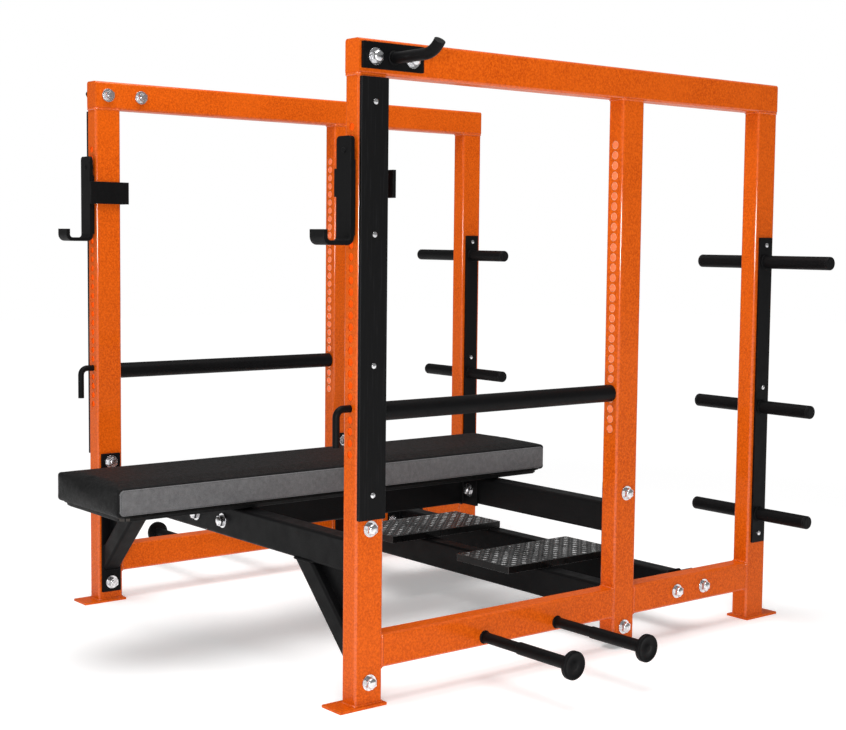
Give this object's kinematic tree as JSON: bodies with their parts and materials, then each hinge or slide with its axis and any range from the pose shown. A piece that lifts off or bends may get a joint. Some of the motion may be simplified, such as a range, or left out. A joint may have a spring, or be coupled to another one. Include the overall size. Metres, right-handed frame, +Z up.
{
  "type": "olympic bench press",
  "caption": "Bench press station: padded flat bench between two steel side frames with movable bar hooks, rod-and-pipe safeties, plate storage horns, band pegs and spotter treads.",
  "frame": {"origin": "on the floor, under the middle of the machine's bounding box", "axes": "+X across the bench to the right-hand side frame, +Y from the pad's free end towards the storage horns, +Z up"},
  "size_m": [1.852, 1.747, 1.44],
  "materials": {
    "orange_coat": "orange powder coat, semi-gloss",
    "black_coat": "black powder coat, satin",
    "black_plastic": "black plastic, matt",
    "bright_steel": "zinc-plated fasteners and bushes, bright",
    "tread_plate": "dark grey checker plate, satin",
    "vinyl": "black vinyl with grey side panels, fine grain",
    "plywood": "black-stained plywood"
  },
  "bodies": {
    "frame": {"left_front_upright": "orange_coat", "right_front_upright": "orange_coat", "left_middle_upright": "orange_coat", "right_middle_upright": "orange_coat", "left_rear_upright": "orange_coat", "right_rear_upright": "orange_coat", "left_top_rail": "orange_coat", "right_top_rail": "orange_coat", "left_front_bottom_rail": "orange_coat", "right_front_bottom_rail": "orange_coat", "left_rear_bottom_rail": "orange_coat", "right_rear_bottom_rail": "orange_coat", "floor_plates": "orange_coat", "top_rail_caps": "orange_coat", "upright_plugs": "black_plastic", "hole_bushes": "bright_steel", "left_wear_strip": "black_plastic", "right_wear_strip": "black_plastic", "front_cross_beam": "black_coat", "left_front_gusset": "black_coat", "right_front_gusset": "black_coat", "middle_upper_beam": "black_coat", "middle_lower_beam": "black_coat", "middle_end_plates": "black_coat", "rear_lower_beam": "black_coat", "left_tread": "tread_plate", "right_tread": "tread_plate", "bench_beam": "black_coat", "pad_straps": "black_coat", "pad_board": "plywood", "bench_pad": "vinyl", "left_top_hook": "black_coat", "right_top_hook": "black_coat", "left_horn_plates": "black_coat", "right_horn_plates": "black_coat", "left_outer_horns": "black_coat", "right_outer_horns": "black_coat", "left_inner_horns": "black_coat", "right_inner_horns": "black_coat", "horn_caps": "black_plastic", "left_band_pegs": "black_coat", "right_band_pegs": "black_coat", "frame_bolts": "bright_steel", "bench_bolts": "bright_steel", "hook_bolts": "bright_steel", "bolt_washers": "bright_steel", "bolt_nuts": "bright_steel", "strip_screws": "bright_steel", "horn_screws": "bright_steel", "pad_screws": "bright_steel"},
    "left_hook": {"left_bar_hook": "black_coat", "left_hook_pad": "black_plastic"},
    "right_hook": {"right_bar_hook": "black_coat", "right_hook_pad": "black_plastic"},
    "left_rod": {"left_safety_rod": "black_coat"},
    "right_rod": {"right_safety_rod": "black_coat"},
    "left_pipe": {"left_safety_pipe": "black_coat"},
    "right_pipe": {"right_safety_pipe": "black_coat"}
  },
  "joints": [
    {"name": "left_hook_swing", "type": "hinge", "parent": "frame", "child": "left_hook", "pos_m": [-0.605, -0.5585, 1.205], "axis": [0, -1, 0], "range_deg": [0, 90]},
    {"name": "right_hook_swing", "type": "hinge", "parent": "frame", "child": "right_hook", "pos_m": [0.605, -0.5585, 1.205], "axis": [0, 1, 0], "range_deg": [0, 90]},
    {"name": "left_rod_slide", "type": "slide", "parent": "frame", "child": "left_rod", "axis": [0, -1, 0], "range_m": [0, 0.8]},
    {"name": "right_rod_slide", "type": "slide", "parent": "frame", "child": "right_rod", "axis": [0, -1, 0], "range_m": [0, 0.8]},
    {"name": "left_pipe_spin", "type": "hinge", "parent": "frame", "child": "left_pipe", "pos_m": [-0.605, -0.1225, 0.6445], "axis": [0, 1, 0], "continuous": true},
    {"name": "right_pipe_spin", "type": "hinge", "parent": "frame", "child": "right_pipe", "pos_m": [0.605, -0.1225, 0.6445], "axis": [0, 1, 0], "continuous": true}
  ]
}
